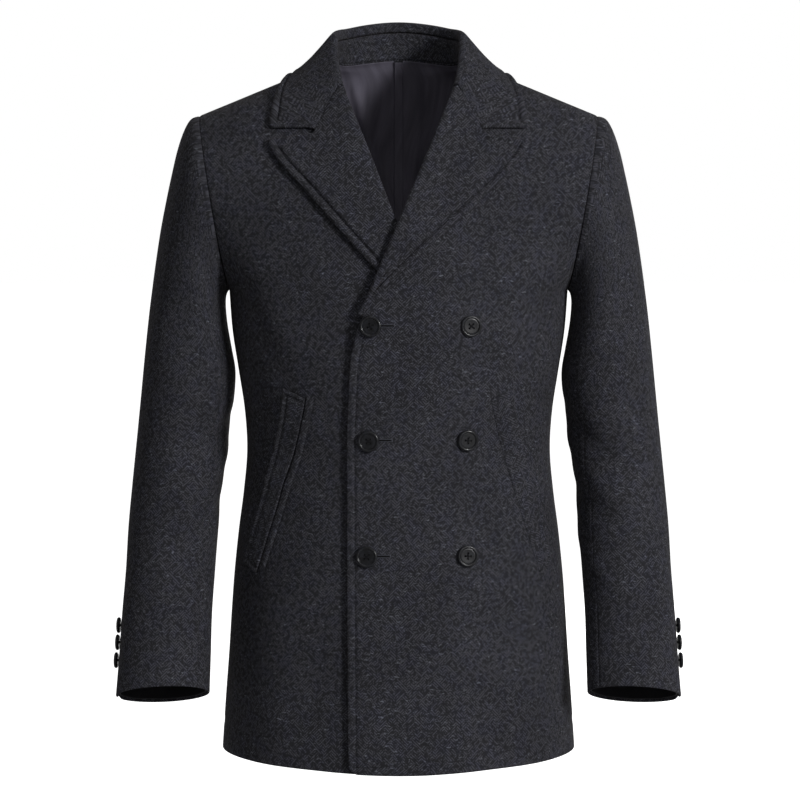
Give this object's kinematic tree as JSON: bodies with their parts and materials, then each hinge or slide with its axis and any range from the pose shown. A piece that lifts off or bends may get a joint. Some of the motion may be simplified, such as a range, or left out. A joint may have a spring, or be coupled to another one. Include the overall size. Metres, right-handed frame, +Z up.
{
  "type": "pea coat",
  "caption": "Hip-length double-breasted wool coat with a wide notched collar, set-in sleeves, slanted welt pockets and a satin lining, filled out as if worn.",
  "frame": {"origin": "centre of the neck opening, level with the neck points of the shoulder seams, where the coat hangs on its wearer", "axes": "+X to the wearer's left, -Y to the front, +Z up"},
  "size_m": [0.6534, 0.2814, 0.856],
  "materials": {
    "wool": "matte, brushed",
    "satin": "soft sheen",
    "button": "semi-gloss"
  },
  "bodies": {
    "root": {"back_left": "wool", "back_right": "wool", "button_cuff_left_1": "button", "button_cuff_left_2": "button", "button_cuff_left_3": "button", "button_cuff_right_1": "button", "button_cuff_right_2": "button", "button_cuff_right_3": "button", "button_front_1_left": "button", "button_front_1_right": "button", "button_front_2_left": "button", "button_front_2_right": "button", "button_front_3_left": "button", "button_front_3_right": "button", "collar_fall": "wool", "collar_stand": "wool", "front_left": "wool", "front_right": "wool", "lapel_left": "wool", "lapel_right": "wool", "lining_back": "satin", "pocket_welt_left": "wool", "pocket_welt_right": "wool", "sleeve_lining_left": "satin", "sleeve_lining_right": "satin", "sleeve_top_left": "wool", "sleeve_top_right": "wool", "sleeve_under_left": "wool", "sleeve_under_right": "wool"}
  },
  "joints": []
}
